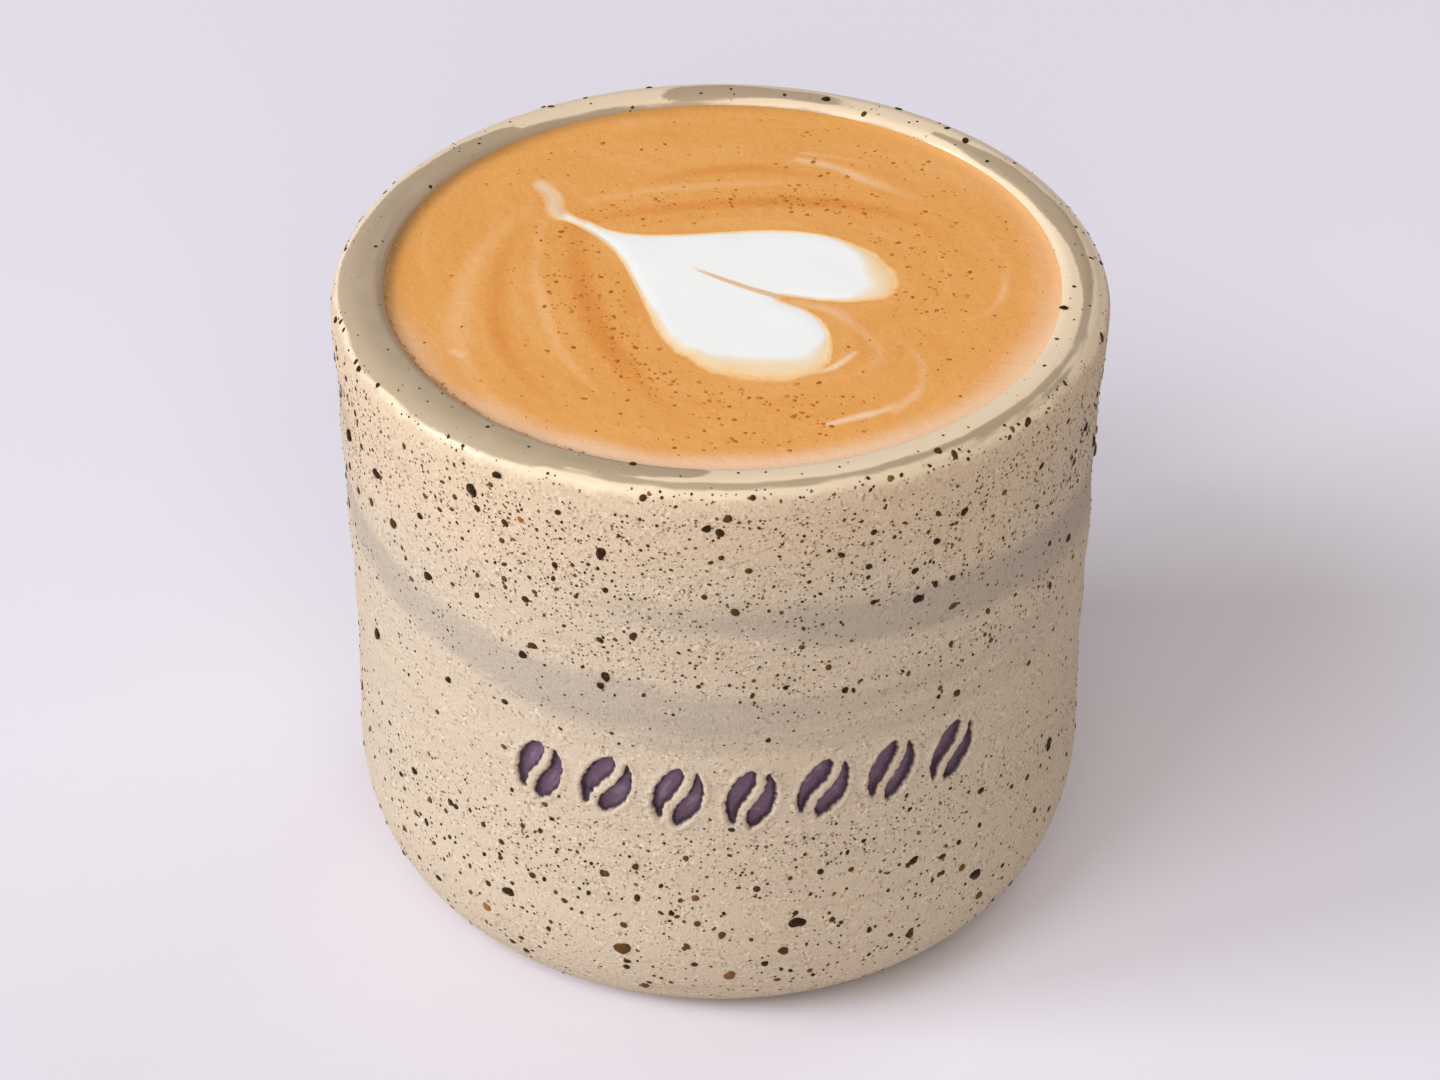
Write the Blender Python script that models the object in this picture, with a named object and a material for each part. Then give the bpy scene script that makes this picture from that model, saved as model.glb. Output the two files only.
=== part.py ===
"""A latte, with a two-lobed milk-foam heart, in a hand-thrown stoneware cup that has no handle.

Metres, +Z up. The origin is the middle of the cup's foot. The camera side, with the stamped
row of coffee beans, faces -Y.
"""

import math

import bmesh
import bpy

MM = 0.001

# Driving dimensions of the cup.
CUP_HEIGHT = 76.5 * MM
RIM_RADIUS = 43.0 * MM
CAVITY_RADIUS = 37.2 * MM
FLOOR_HEIGHT = 7.0 * MM
FOOT_RADIUS = 30.6 * MM
FOOT_WIDTH = 6.0 * MM
FOOT_RECESS = 0.9 * MM

# The drink, and the gap that every piece keeps to its neighbour.
DRINK_LEVEL = 75.4 * MM
MENISCUS_RISE = 0.25 * MM
MENISCUS_WIDTH = 1.6 * MM
GAP = 0.3 * MM

# The outer wall: its radius at heights from the rounded foot up to where the lip begins to turn.
FOOT_CORNER_HEIGHT = 16.4 * MM
LIP_ROUND = 3.3 * MM
INNER_LIP_ROUND = 1.8 * MM
INNER_LIP_DROP = 0.1 * MM
INNER_LIP_START = CUP_HEIGHT - INNER_LIP_DROP - INNER_LIP_ROUND
WALL_RADII = (41.7 * MM, 41.6 * MM, 41.7 * MM, 42.1 * MM, 42.3 * MM, 42.6 * MM, RIM_RADIUS)

# The potter's hand: faint throwing rings, a slight lean of the wall, and a cavity off the middle.
THROWING_RIPPLE = 0.12 * MM
RIPPLE_PITCH = 11.0 * MM
LEAN = -0.25 * MM
LEAN_HEIGHT = 58.0 * MM
LEAN_SPREAD = 12.0 * MM
CAVITY_OFFSET = (0.2 * MM, -0.2 * MM)
CAVITY_CORNER = 13.0 * MM

# How finely the round shapes are divided.
SEGMENTS = 80
WALL_RINGS = 16
CORNER_RINGS = 9
CAVITY_RINGS = 7
LIP_RINGS = 6
INNER_LIP_RINGS = 5
MENISCUS_RINGS = 3
DRINK_TOP_SHARES = (0.3, 0.6, 0.85)

# The row of stamped coffee beans on the front: two half beans to a stamp, with a ridge between.
BEAN_COUNT = 7
BEAN_WIDTH = 5.6 * MM
BEAN_HEIGHT = 8.6 * MM
BEAN_RIDGE = 0.9 * MM
BEAN_WAVE = 0.5 * MM
BEAN_SLANT = math.radians(-19.0)
BEAN_ARC_END = 72
BEAN_ARC_STEP = 16
BEAN_RIDGE_STEPS = (0.80, 0.45, 0.0, -0.45, -0.80)
BEAN_TILTS = (3.0, -4.0, 2.0, 5.0, -3.0, 1.0, -5.0)
BEAN_LIFTS = (0.0 * MM, 0.3 * MM, -0.2 * MM, -0.4 * MM, 0.2 * MM, 0.5 * MM, 0.1 * MM)
ROW_FIRST_ANGLE = -28.0
ROW_LAST_ANGLE = 38.0
ROW_HEIGHT = 35.4 * MM
STAMP_DEPTH = 1.0 * MM
STAMP_REACH = 2.0 * MM
BEAN_SIDES = (-1, 1)

# The milk heart: its outline on the drink, seen from above, with +Y away from the camera.
HEART_OUTLINE_MM = (
    (-20.6, 20.6), (-19.2, 19.2), (-18.0, 17.0), (-17.9, 14.8), (-16.6, 13.1), (-14.6, 11.6),
    (-12.2, 9.9), (-8.4, 9.1), (-3.6, 9.3), (1.4, 9.9), (6.4, 10.2), (11.6, 9.2),
    (15.8, 6.6), (18.4, 3.0), (19.3, -0.8), (18.0, -3.4), (14.6, -4.4), (11.0, -4.2),
    (8.4, -3.6), (6.6, -3.3), (6.3, -4.1), (7.6, -5.0), (10.0, -6.8), (11.6, -9.8),
    (11.8, -13.6), (10.4, -16.8), (7.2, -18.6), (3.4, -18.7), (-0.2, -17.2), (-3.4, -14.4),
    (-6.2, -10.6), (-8.2, -5.6), (-9.6, -0.8), (-11.2, 4.2), (-13.6, 8.2), (-16.4, 11.3),
    (-18.9, 12.7), (-19.6, 14.6), (-19.9, 17.0), (-21.3, 19.2),
)
HEART_DEPTH = 2.4 * MM
HEART_CROWN = 0.2 * MM
HEART_EDGE = 0.5 * MM
HEART_STEPS = 2
POCKET_REACH = 2.0 * MM
SMOOTH_ANGLE = 40.0

STONEWARE = ("speckled_stoneware", (0.66, 0.55, 0.43), 0.75)
CREMA = ("crema", (0.76, 0.40, 0.13), 0.35)
MILK = ("milk_foam", (0.86, 0.85, 0.82), 0.45)


def clear_scene():
    for obj in list(bpy.data.objects):
        bpy.data.objects.remove(obj)


def material(name, colour, roughness):
    """A Principled material of one colour."""
    made = bpy.data.materials.new(name)
    made.use_nodes = True
    shader = made.node_tree.nodes["Principled BSDF"]
    shader.inputs["Base Color"].default_value = (*colour, 1.0)
    shader.inputs["Roughness"].default_value = roughness
    shader.inputs["Metallic"].default_value = 0.0
    return made


def object_from(name, mesh, look=None):
    obj = bpy.data.objects.new(name, mesh)
    bpy.context.scene.collection.objects.link(obj)
    if look:
        mesh.materials.append(material(*look))
    return obj


def mesh_from(name, build):
    """A mesh whose geometry the function build adds to an empty bmesh."""
    bm = bmesh.new()
    build(bm)
    bmesh.ops.recalc_face_normals(bm, faces=bm.faces)
    mesh = bpy.data.meshes.new(name)
    bm.to_mesh(mesh)
    bm.free()
    mesh.shade_smooth()
    mesh.set_sharp_from_angle(angle=math.radians(SMOOTH_ANGLE))
    return mesh


def skin_rings(bm, rings):
    """Bridges rings of (centre x, centre y, radius, height), with a point at each end of the stack."""
    first, *middle, last = rings
    loops = []
    angles = [2 * math.pi * k / SEGMENTS for k in range(SEGMENTS)]
    for x, y, radius, height in middle:
        loops.append([
            bm.verts.new((x + radius * math.cos(a), y + radius * math.sin(a), height)) for a in angles
        ])
    for lower, upper in zip(loops, loops[1:]):
        for k in range(SEGMENTS):
            after = (k + 1) % SEGMENTS
            bm.faces.new((lower[k], lower[after], upper[after], upper[k]))
    for (x, y, _, height), loop in ((first, loops[0]), (last, loops[-1])):
        tip = bm.verts.new((x, y, height))
        for k in range(SEGMENTS):
            bm.faces.new((tip, loop[k], loop[(k + 1) % SEGMENTS]))


def arc(centre, radii, start, end, count):
    """Points of an elliptical arc in the profile plane, as (radius, height)."""
    for k in range(count + 1):
        angle = math.radians(start + (end - start) * k / count)
        yield centre[0] + radii[0] * math.cos(angle), centre[1] + radii[1] * math.sin(angle)


def wall_radius(height):
    """The outer wall's radius, read from WALL_RADII by smooth steps, with the throwing rings on it."""
    top = CUP_HEIGHT - LIP_ROUND
    share = (height - FOOT_CORNER_HEIGHT) / (top - FOOT_CORNER_HEIGHT)
    place = min(max(share, 0.0), 1.0) * (len(WALL_RADII) - 1)
    step = min(int(place), len(WALL_RADII) - 2)
    part = place - step
    eased = part * part * (3 - 2 * part)
    radius = WALL_RADII[step] + (WALL_RADII[step + 1] - WALL_RADII[step]) * eased
    fade = math.sin(math.pi * min(max(share, 0.0), 1.0))
    return radius + THROWING_RIPPLE * fade * math.sin(2 * math.pi * height / RIPPLE_PITCH)


def lean(height):
    """How far the wall's middle stands off the axis along X."""
    return LEAN * math.exp(-(((height - LEAN_HEIGHT) / LEAN_SPREAD) ** 2))


def outer_rings():
    """The underside, the foot and the outer wall, from the middle of the base up to the lip."""
    recess_radius = FOOT_RADIUS - FOOT_WIDTH
    yield 0.0, 0.0, 0.0, FOOT_RECESS
    yield 0.0, 0.0, recess_radius - FOOT_RECESS, FOOT_RECESS
    yield 0.0, 0.0, recess_radius, 0.0
    corner = (FOOT_RADIUS, FOOT_CORNER_HEIGHT)
    radii = (WALL_RADII[0] - FOOT_RADIUS, FOOT_CORNER_HEIGHT)
    for radius, height in arc(corner, radii, -90, 0, CORNER_RINGS):
        yield lean(height), 0.0, radius, height
    top = CUP_HEIGHT - LIP_ROUND
    for k in range(1, WALL_RINGS + 1):
        height = FOOT_CORNER_HEIGHT + (top - FOOT_CORNER_HEIGHT) * k / WALL_RINGS
        yield lean(height), 0.0, wall_radius(height), height


def lip_rings():
    """The rounded lip, whose rings slide from the wall's middle to the cavity's."""
    turn = (RIM_RADIUS - LIP_ROUND, CUP_HEIGHT - LIP_ROUND)
    outer = list(arc(turn, (LIP_ROUND, LIP_ROUND), 0, 90, LIP_RINGS))
    inner_turn = (CAVITY_RADIUS + INNER_LIP_ROUND, INNER_LIP_START)
    inner = list(arc(inner_turn, (INNER_LIP_ROUND, INNER_LIP_ROUND), 90, 180, INNER_LIP_RINGS))
    for radius, height in outer[1:] + inner:
        share = (RIM_RADIUS - radius) / (RIM_RADIUS - CAVITY_RADIUS)
        yield CAVITY_OFFSET[0] * share, CAVITY_OFFSET[1] * share, radius, height


def cavity_rings(inset):
    """The cavity's wall and floor from the lip down, taken in by inset."""
    x, y = CAVITY_OFFSET
    corner_radius = CAVITY_CORNER - inset
    floor = FLOOR_HEIGHT + inset
    centre = (CAVITY_RADIUS - inset - corner_radius, floor + corner_radius)
    for radius, height in arc(centre, (corner_radius, corner_radius), 0, -90, CAVITY_RINGS):
        yield x, y, radius, height
    yield x, y, 0.0, floor


def cup_mesh():
    rings = [*outer_rings(), *lip_rings(), *cavity_rings(0.0)]
    return mesh_from("cup", lambda bm: skin_rings(bm, rings))


def lip_inner_radius(height):
    """The lip's inner radius at a height on its inner round."""
    climb = max(height - INNER_LIP_START, 0.0)
    return CAVITY_RADIUS + INNER_LIP_ROUND - math.sqrt(INNER_LIP_ROUND**2 - climb**2)


def drink_mesh():
    """The drink up to its level, with a rim of foam that climbs the lip a little."""
    x, y = CAVITY_OFFSET
    edge = lip_inner_radius(DRINK_LEVEL) - GAP
    rings = [(x, y, 0.0, DRINK_LEVEL)]
    for share in DRINK_TOP_SHARES:
        rings.append((x, y, share * (edge - MENISCUS_WIDTH), DRINK_LEVEL))
    for k in range(MENISCUS_RINGS + 1):
        share = k / MENISCUS_RINGS
        height = DRINK_LEVEL + MENISCUS_RISE * share**2
        rings.append((x, y, edge - MENISCUS_WIDTH * (1 - share), height))
    rings.append((x, y, edge, DRINK_LEVEL))
    rings.append((x, y, CAVITY_RADIUS - GAP, INNER_LIP_START))
    rings += cavity_rings(GAP)
    return mesh_from("drink", lambda bm: skin_rings(bm, rings))


def spline(t, a, b, c, d):
    """Catmull-Rom value between b and c."""
    square = (2 * a - 5 * b + 4 * c - d) * t**2
    cube = (3 * b - a - 3 * c + d) * t**3
    return 0.5 * (2 * b + (c - a) * t + square + cube)


def smooth_outline(points, steps):
    """A closed Catmull-Rom curve through the points."""
    count = len(points)
    made = []
    for k in range(count):
        p0, p1, p2, p3 = (points[(k + j) % count] for j in (-1, 0, 1, 2))
        for step in range(steps):
            made.append(tuple(spline(step / steps, *knots) for knots in zip(p0, p1, p2, p3)))
    return made


def offset_outline(points, distance):
    """The outline moved outwards by a distance, corners mitred. Its points run clockwise."""
    count = len(points)
    moved = []
    for k in range(count):
        (ax, ay), (bx, by), (cx, cy) = points[k - 1], points[k], points[(k + 1) % count]
        before = math.atan2(by - ay, bx - ax)
        after = math.atan2(cy - by, cx - bx)
        half = 0.5 * math.remainder(after - before, 2 * math.pi)
        side = before + half + math.pi / 2
        reach = distance / math.cos(half)
        moved.append((bx + reach * math.cos(side), by + reach * math.sin(side)))
    return moved


def heart_outline(grow):
    points = [(x * MM, y * MM) for x, y in HEART_OUTLINE_MM]
    return offset_outline(smooth_outline(points, HEART_STEPS), grow)


def prism(bm, layers):
    """A closed stack of equal-length outlines, given as (points, height), with flat ends."""
    loops = [[bm.verts.new((x, y, height)) for x, y in points] for points, height in layers]
    count = len(loops[0])
    for lower, upper in zip(loops, loops[1:]):
        for k in range(count):
            after = (k + 1) % count
            bm.faces.new((lower[k], lower[after], upper[after], upper[k]))
    ends = [bm.faces.new(loops[0]), bm.faces.new(loops[-1])]
    bmesh.ops.triangulate(bm, faces=ends)


def heart_mesh():
    """The milk heart: a pool of foam let into the drink, its edge rounded and its top a little proud."""
    bottom = DRINK_LEVEL - HEART_DEPTH
    full = heart_outline(0.0)
    layers = [
        (full, bottom),
        (full, DRINK_LEVEL - 0.5 * HEART_CROWN),
        (heart_outline(-0.5 * HEART_EDGE), DRINK_LEVEL + HEART_CROWN),
    ]
    return mesh_from("milk_heart", lambda bm: prism(bm, layers))


def heart_pocket_mesh():
    """The room that the heart takes in the drink, with the gap all round it."""
    grown = heart_outline(GAP)
    layers = [(grown, DRINK_LEVEL - HEART_DEPTH - GAP), (grown, DRINK_LEVEL + POCKET_REACH)]
    return mesh_from("heart_pocket", lambda bm: prism(bm, layers))


def ridge_line(y):
    """Where the bean's S-shaped ridge runs, across its width, at a distance y along it."""
    return BEAN_WAVE * math.sin(2 * math.pi * y / BEAN_HEIGHT)


def half_bean_outline(side):
    """One side of a bean: the ellipse round the outside, and back along the ridge."""
    half_width, half_height = BEAN_WIDTH / 2, BEAN_HEIGHT / 2
    outline = []
    for degrees in range(-BEAN_ARC_END, BEAN_ARC_END + 1, BEAN_ARC_STEP):
        angle = math.radians(degrees)
        outline.append((side * half_width * math.cos(angle), half_height * math.sin(angle)))
    for share in BEAN_RIDGE_STEPS:
        y = half_height * share
        outline.append((ridge_line(y) + side * BEAN_RIDGE / 2, y))
    return outline


def bean_stamp(number):
    """(angle round the cup, height, turn in the wall's plane) of one stamp."""
    share = number / (BEAN_COUNT - 1)
    angle = math.radians(ROW_FIRST_ANGLE + (ROW_LAST_ANGLE - ROW_FIRST_ANGLE) * share)
    return angle, ROW_HEIGHT + BEAN_LIFTS[number], BEAN_SLANT + math.radians(BEAN_TILTS[number])


def stamp_mesh(number, side):
    """A half bean as a block that reaches from the stamp's floor to outside the wall."""
    angle, height, turn = bean_stamp(number)
    middle = lean(height)
    floor = wall_radius(height) - STAMP_DEPTH
    out = (math.sin(angle), -math.cos(angle))
    across = (math.cos(angle), math.sin(angle))

    def build(bm):
        layers = []
        for reach in (floor, floor + STAMP_DEPTH + STAMP_REACH):
            loop = []
            for u, v in half_bean_outline(side):
                x = u * math.cos(turn) - v * math.sin(turn)
                z = u * math.sin(turn) + v * math.cos(turn)
                loop.append(bm.verts.new((
                    middle + out[0] * reach + across[0] * x,
                    out[1] * reach + across[1] * x,
                    height + z,
                )))
            layers.append(loop)
        count = len(layers[0])
        for k in range(count):
            after = (k + 1) % count
            bm.faces.new((layers[0][k], layers[0][after], layers[1][after], layers[1][k]))
        bm.faces.new(layers[0])
        bm.faces.new(layers[1])

    return mesh_from(f"stamp_{number}_{side}", build)


def as_cutter(obj):
    obj.hide_render = True
    obj.display_type = "WIRE"
    return obj


def cut_with(obj, cutters):
    """Takes the cutters away from the object with one Boolean on a collection of them."""
    group = bpy.data.collections.new(obj.name + "_cutters")
    bpy.context.scene.collection.children.link(group)
    for cutter in cutters:
        bpy.context.scene.collection.objects.unlink(cutter)
        group.objects.link(as_cutter(cutter))
    cut = obj.modifiers.new("cut", "BOOLEAN")
    cut.operation = "DIFFERENCE"
    cut.operand_type = "COLLECTION"
    cut.collection = group
    cut.solver = "EXACT"


def build():
    clear_scene()
    cup = object_from("cup", cup_mesh(), STONEWARE)
    stamps = []
    for number in range(BEAN_COUNT):
        for side in BEAN_SIDES:
            stamps.append(object_from(f"stamp_{number}_{side}", stamp_mesh(number, side)))
    cut_with(cup, stamps)
    drink = object_from("drink", drink_mesh(), CREMA)
    cut_with(drink, [object_from("heart_pocket", heart_pocket_mesh())])
    object_from("milk_heart", heart_mesh(), MILK)


build()
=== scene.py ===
import math

import bpy
import numpy as np
from mathutils import Matrix, Vector


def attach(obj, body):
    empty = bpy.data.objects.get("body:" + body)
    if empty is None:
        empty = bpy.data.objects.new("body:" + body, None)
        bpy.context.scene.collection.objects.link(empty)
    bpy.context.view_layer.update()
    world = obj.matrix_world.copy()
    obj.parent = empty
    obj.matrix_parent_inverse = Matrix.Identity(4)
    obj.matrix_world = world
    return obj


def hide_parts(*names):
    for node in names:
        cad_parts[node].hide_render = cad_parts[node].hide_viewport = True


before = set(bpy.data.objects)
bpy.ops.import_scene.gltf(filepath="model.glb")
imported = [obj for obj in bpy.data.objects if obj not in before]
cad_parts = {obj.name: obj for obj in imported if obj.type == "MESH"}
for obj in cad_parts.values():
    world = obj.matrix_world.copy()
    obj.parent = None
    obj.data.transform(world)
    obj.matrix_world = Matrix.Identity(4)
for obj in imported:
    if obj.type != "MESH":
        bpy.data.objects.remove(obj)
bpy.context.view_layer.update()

# A latte in a hand-thrown stoneware cup. Lengths in the tables are millimetres, angles are degrees.
# "Turn" is the angle round the cup: 0 faces the camera, 90 is to its right.
mm = 0.001


# Shared helpers
def linear(hexText):
    values = [int(hexText[i:i + 2], 16) / 255 for i in (1, 3, 5)]
    return tuple(v / 12.92 if v <= 0.04045 else ((v + 0.055) / 1.055) ** 2.4 for v in values) + (1.0,)


def feed(tree, node, inputs):
    # an input is a value, a socket, or a node whose first output in use is meant
    for socket, value in inputs.items():
        if isinstance(value, bpy.types.Node):
            value = next(output for output in value.outputs if output.enabled)
        if isinstance(value, bpy.types.NodeSocket):
            tree.links.new(value, node.inputs[socket])
        else:
            node.inputs[socket].default_value = value


def addNode(tree, kind, inputs=None, ramp=None, **settings):
    node = tree.nodes.new(kind)
    for name, value in settings.items():
        setattr(node, name, value)
    if ramp:  # (place, hex colour) pairs
        stops = node.color_ramp.elements
        while len(stops) < len(ramp):
            stops.new(1.0)
        for stop, (place, shade) in zip(stops, ramp):
            stop.position = place
            stop.color = linear(shade)
    feed(tree, node, inputs or {})
    return node


def newMaterial(name):
    material = bpy.data.materials.new(name)
    material.use_nodes = True
    return material, material.node_tree, material.node_tree.nodes["Principled BSDF"]


def readFields(tree, layerNames, noises):
    # the mesh's layers, and noises of about -1 to 1 at real sizes: (millimetres, stretch, detail)
    place = addNode(tree, "ShaderNodeTexCoord").outputs["Object"]
    fields = {name: addNode(tree, "ShaderNodeAttribute", attribute_name=name).outputs["Fac"]
              for name in layerNames}
    for name, (size, stretch, detail) in noises.items():
        scaled = addNode(tree, "ShaderNodeMapping", {
            "Vector": place, "Scale": tuple(share / (size * mm) for share in stretch)})
        raw = addNode(tree, "ShaderNodeTexNoise", {"Vector": scaled, "Scale": 1.0, "Detail": detail,
                                                   "Roughness": 0.6})
        fields[name] = addNode(tree, "ShaderNodeMapRange", {
            "Value": raw, "From Min": 0.25, "From Max": 0.75, "To Min": -1.0}, clamp=False)
    return place, fields


def paintCoats(tree, colour, coats, fields):
    # each coat covers those before it where its layer, swayed by a noise, goes from start to full
    for layer, noise, sway, start, full, strength, shade in coats:
        edge = addNode(tree, "ShaderNodeMath", {0: fields[noise], 1: sway, 2: fields[layer]},
                       operation="MULTIPLY_ADD")
        share = addNode(tree, "ShaderNodeMapRange", {
            "Value": edge, "From Min": start, "From Max": full, "To Max": strength},
            interpolation_type="SMOOTHSTEP")
        colour = addNode(tree, "ShaderNodeMix", {0: share, 6: colour, 7: linear(shade)}, data_type="RGBA")
    return colour


def smoothStep(low, high, value):
    share = np.clip((value - low) / (high - low), 0.0, 1.0)
    return share * share * (3 - 2 * share)


def ripple(points, wavelength, seed, waves=9):
    # soft noise of about -1.5 to 1.5, as a sum of waves that run in random directions
    rng = np.random.default_rng(seed)
    total = np.zeros(len(points))
    for _ in range(waves):
        direction = rng.normal(size=points.shape[1])
        direction *= 2 * math.pi / (wavelength * rng.uniform(0.7, 1.4) * np.linalg.norm(direction))
        total += np.sin(points @ direction + rng.uniform(0, 2 * math.pi))
    return total / math.sqrt(waves)


def curveThrough(points, steps, closed=False):
    # Catmull-Rom curve through the points
    count = len(points)
    made = []
    for k in range(count if closed else count - 1):
        around = ((k + j) % count if closed else min(max(k + j, 0), count - 1) for j in (-1, 0, 1, 2))
        a, b, c, d = (np.array(points[knot], float) for knot in around)
        for step in range(steps):
            t = step / steps
            made.append(0.5 * (2 * b + (c - a) * t + (2 * a - 5 * b + 4 * c - d) * t * t
                               + (3 * b - a - 3 * c + d) * t ** 3))
    if not closed:
        made.append(np.array(points[-1], float))
    return np.array(made)


def segmentReach(x, y, start, end):
    # the share of a segment at its nearest place, and the distance to that place
    (ax, ay), (bx, by) = start, end
    ex, ey = bx - ax, by - ay
    t = np.clip(((x - ax) * ex + (y - ay) * ey) / (ex * ex + ey * ey), 0, 1)
    return t, np.hypot(x - ax - t * ex, y - ay - t * ey)


def insideDistance(x, y, outline):
    # distance to a closed outline, positive inside it
    nearest = np.full(x.shape, 1e9)
    inside = np.zeros(x.shape, bool)
    for start, end in zip(outline, np.roll(outline, -1, axis=0)):
        nearest = np.minimum(nearest, segmentReach(x, y, start, end)[1])
        (ax, ay), (bx, by) = start, end
        if ay != by:
            inside ^= ((ay > y) != (by > y)) & (x < (bx - ax) * (y - ay) / (by - ay) + ax)
    return np.where(inside, nearest, -nearest)


def lineDistance(x, y, points):
    # distance to an open line, and the share of the line at the nearest place
    nearest = np.full(x.shape, 1e9)
    share = np.zeros(x.shape)
    count = len(points) - 1
    for k in range(count):
        t, reach = segmentReach(x, y, points[k], points[k + 1])
        share = np.where(reach < nearest, (k + t) / count, share)
        nearest = np.minimum(nearest, reach)
    return nearest, share


def squareGrid(count):
    # the point numbers of a square grid, and the quads between them
    grid = np.arange(count * count).reshape(count, count)
    quads = np.stack([grid[:-1, :-1], grid[1:, :-1], grid[1:, 1:], grid[:-1, 1:]], axis=-1)
    return grid, quads.reshape(-1, 4)


def newObject(name, data):
    made = bpy.data.objects.new(name, data)
    bpy.context.scene.collection.objects.link(made)
    return made


def newPiece(name, points, faces, attributes=None, material=None):
    # points in millimetres; the object itself stays at the origin
    mesh = bpy.data.meshes.new(name)
    mesh.from_pydata((np.asarray(points) * mm).tolist(), [], [list(map(int, f)) for f in faces])
    mesh.update()
    for label, values in (attributes or {}).items():
        values = np.asarray(values, np.float32)
        kind = "FLOAT" if values.ndim == 1 else "FLOAT_VECTOR"
        layer = mesh.attributes.new(label, kind, "POINT")
        layer.data.foreach_set("value" if values.ndim == 1 else "vector", values.ravel())
    mesh.shade_smooth()
    if material:
        mesh.materials.append(material)
    return newObject(name, mesh)


# what each scatter takes, in the order of the rows in speckLook and bubbleLook
scatterInputs = {
    "Per Square Metre": "Float", "Smallest Radius": "Float", "Largest Radius": "Float",
    "Rarity Of Large": "Float", "Flatness": "Float", "Segments": "Int", "Rings": "Int", "Seed": "Int",
}


def scatterTree(name, crowdLayer, material):
    # low domes strewn over a surface, more of them where its crowd layer is high
    tree = bpy.data.node_groups.new(name, "GeometryNodeTree")
    for label, kind in {"Geometry": "Geometry", **scatterInputs}.items():
        tree.interface.new_socket(label, in_out="INPUT", socket_type="NodeSocket" + kind)
    tree.interface.new_socket("Geometry", in_out="OUTPUT", socket_type="NodeSocketGeometry")
    given = addNode(tree, "NodeGroupInput").outputs
    crowd = addNode(tree, "GeometryNodeInputNamedAttribute", {"Name": crowdLayer}, data_type="FLOAT")
    density = addNode(tree, "ShaderNodeMath", {0: crowd.outputs[0], 1: given["Per Square Metre"]},
                      operation="MULTIPLY")
    spread = addNode(tree, "GeometryNodeDistributePointsOnFaces", {
        "Mesh": given["Geometry"], "Density": density, "Seed": given["Seed"]}, distribute_method="RANDOM")
    chance = addNode(tree, "FunctionNodeRandomValue", {"Seed": given["Seed"]}, data_type="FLOAT")
    rare = addNode(tree, "ShaderNodeMath", {0: chance.outputs[1], 1: given["Rarity Of Large"]},
                   operation="POWER")
    radius = addNode(tree, "ShaderNodeMapRange", {"Value": rare, "To Min": given["Smallest Radius"],
                                                  "To Max": given["Largest Radius"]})
    uneven = addNode(tree, "FunctionNodeRandomValue", {
        0: (0.7, 0.7, 0.8), 1: (1.35, 1.0, 1.2), "Seed": 3}, data_type="FLOAT_VECTOR")
    flat = addNode(tree, "ShaderNodeCombineXYZ", {0: 1.0, 1: 1.0, 2: given["Flatness"]})
    shape = addNode(tree, "ShaderNodeVectorMath", {0: uneven.outputs[0], 1: flat}, operation="MULTIPLY")
    scale = addNode(tree, "ShaderNodeVectorMath", {0: shape, "Scale": radius.outputs[0]},
                    operation="SCALE")
    spin = addNode(tree, "FunctionNodeRandomValue", {0: (0, 0, 0), 1: (0, 0, 2 * math.pi), "Seed": 5},
                   data_type="FLOAT_VECTOR")
    spinTurn = addNode(tree, "FunctionNodeEulerToRotation", {0: spin.outputs[0]})
    turned = addNode(tree, "FunctionNodeRotateRotation", {0: spread.outputs["Rotation"], 1: spinTurn},
                     rotation_space="LOCAL")
    tint = addNode(tree, "FunctionNodeRandomValue", {"Seed": 7}, data_type="FLOAT")
    marked = addNode(tree, "GeometryNodeStoreNamedAttribute", {
        "Geometry": spread.outputs["Points"], "Name": "tint", "Value": tint.outputs[1]},
        data_type="FLOAT", domain="POINT")
    dome = addNode(tree, "GeometryNodeMeshUVSphere", {
        "Segments": given["Segments"], "Rings": given["Rings"], "Radius": 1.0})
    placed = addNode(tree, "GeometryNodeInstanceOnPoints", {
        "Points": marked.outputs[0], "Instance": dome.outputs["Mesh"], "Rotation": turned.outputs[0],
        "Scale": scale.outputs[0]})
    real = addNode(tree, "GeometryNodeRealizeInstances", {0: placed.outputs[0]})
    smooth = addNode(tree, "GeometryNodeSetShadeSmooth", {"Geometry": real.outputs[0]})
    finished = addNode(tree, "GeometryNodeSetMaterial", {
        "Geometry": smooth.outputs[0], "Material": material})
    addNode(tree, "NodeGroupOutput", {0: finished.outputs[0]})
    return tree


def scatterOn(host, name, crowdLayer, material, values):
    # runs a scatter on a copy of the host and keeps the result as a plain mesh
    tree = scatterTree(name, crowdLayer, material)
    carrier = newObject(name + "Carrier", host.data)
    modifier = carrier.modifiers.new("scatter", "NODES")
    modifier.node_group = tree
    identifiers = {item.name: item.identifier for item in tree.interface.items_tree
                   if item.in_out == "INPUT"}
    for label, value in zip(scatterInputs, values):
        modifier[identifiers[label]] = value
    evaluated = carrier.evaluated_get(bpy.context.evaluated_depsgraph_get())
    mesh = bpy.data.meshes.new_from_object(evaluated)
    mesh.name = name
    bpy.data.objects.remove(carrier)
    print("  ", name, len(mesh.polygons), "faces")
    return newObject(name, mesh)


# Camera: at the photograph's angle, from a little over half a metre
cameraSettings = {
    "elevation": 35.51,
    "distance": 583.7,
    "targetHeight": 40.05,
    "targetAcross": 0.06,
    "lens": 127.6,
    "sensorWidth": 36.0,
    "roll": 0.33,
}


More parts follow.
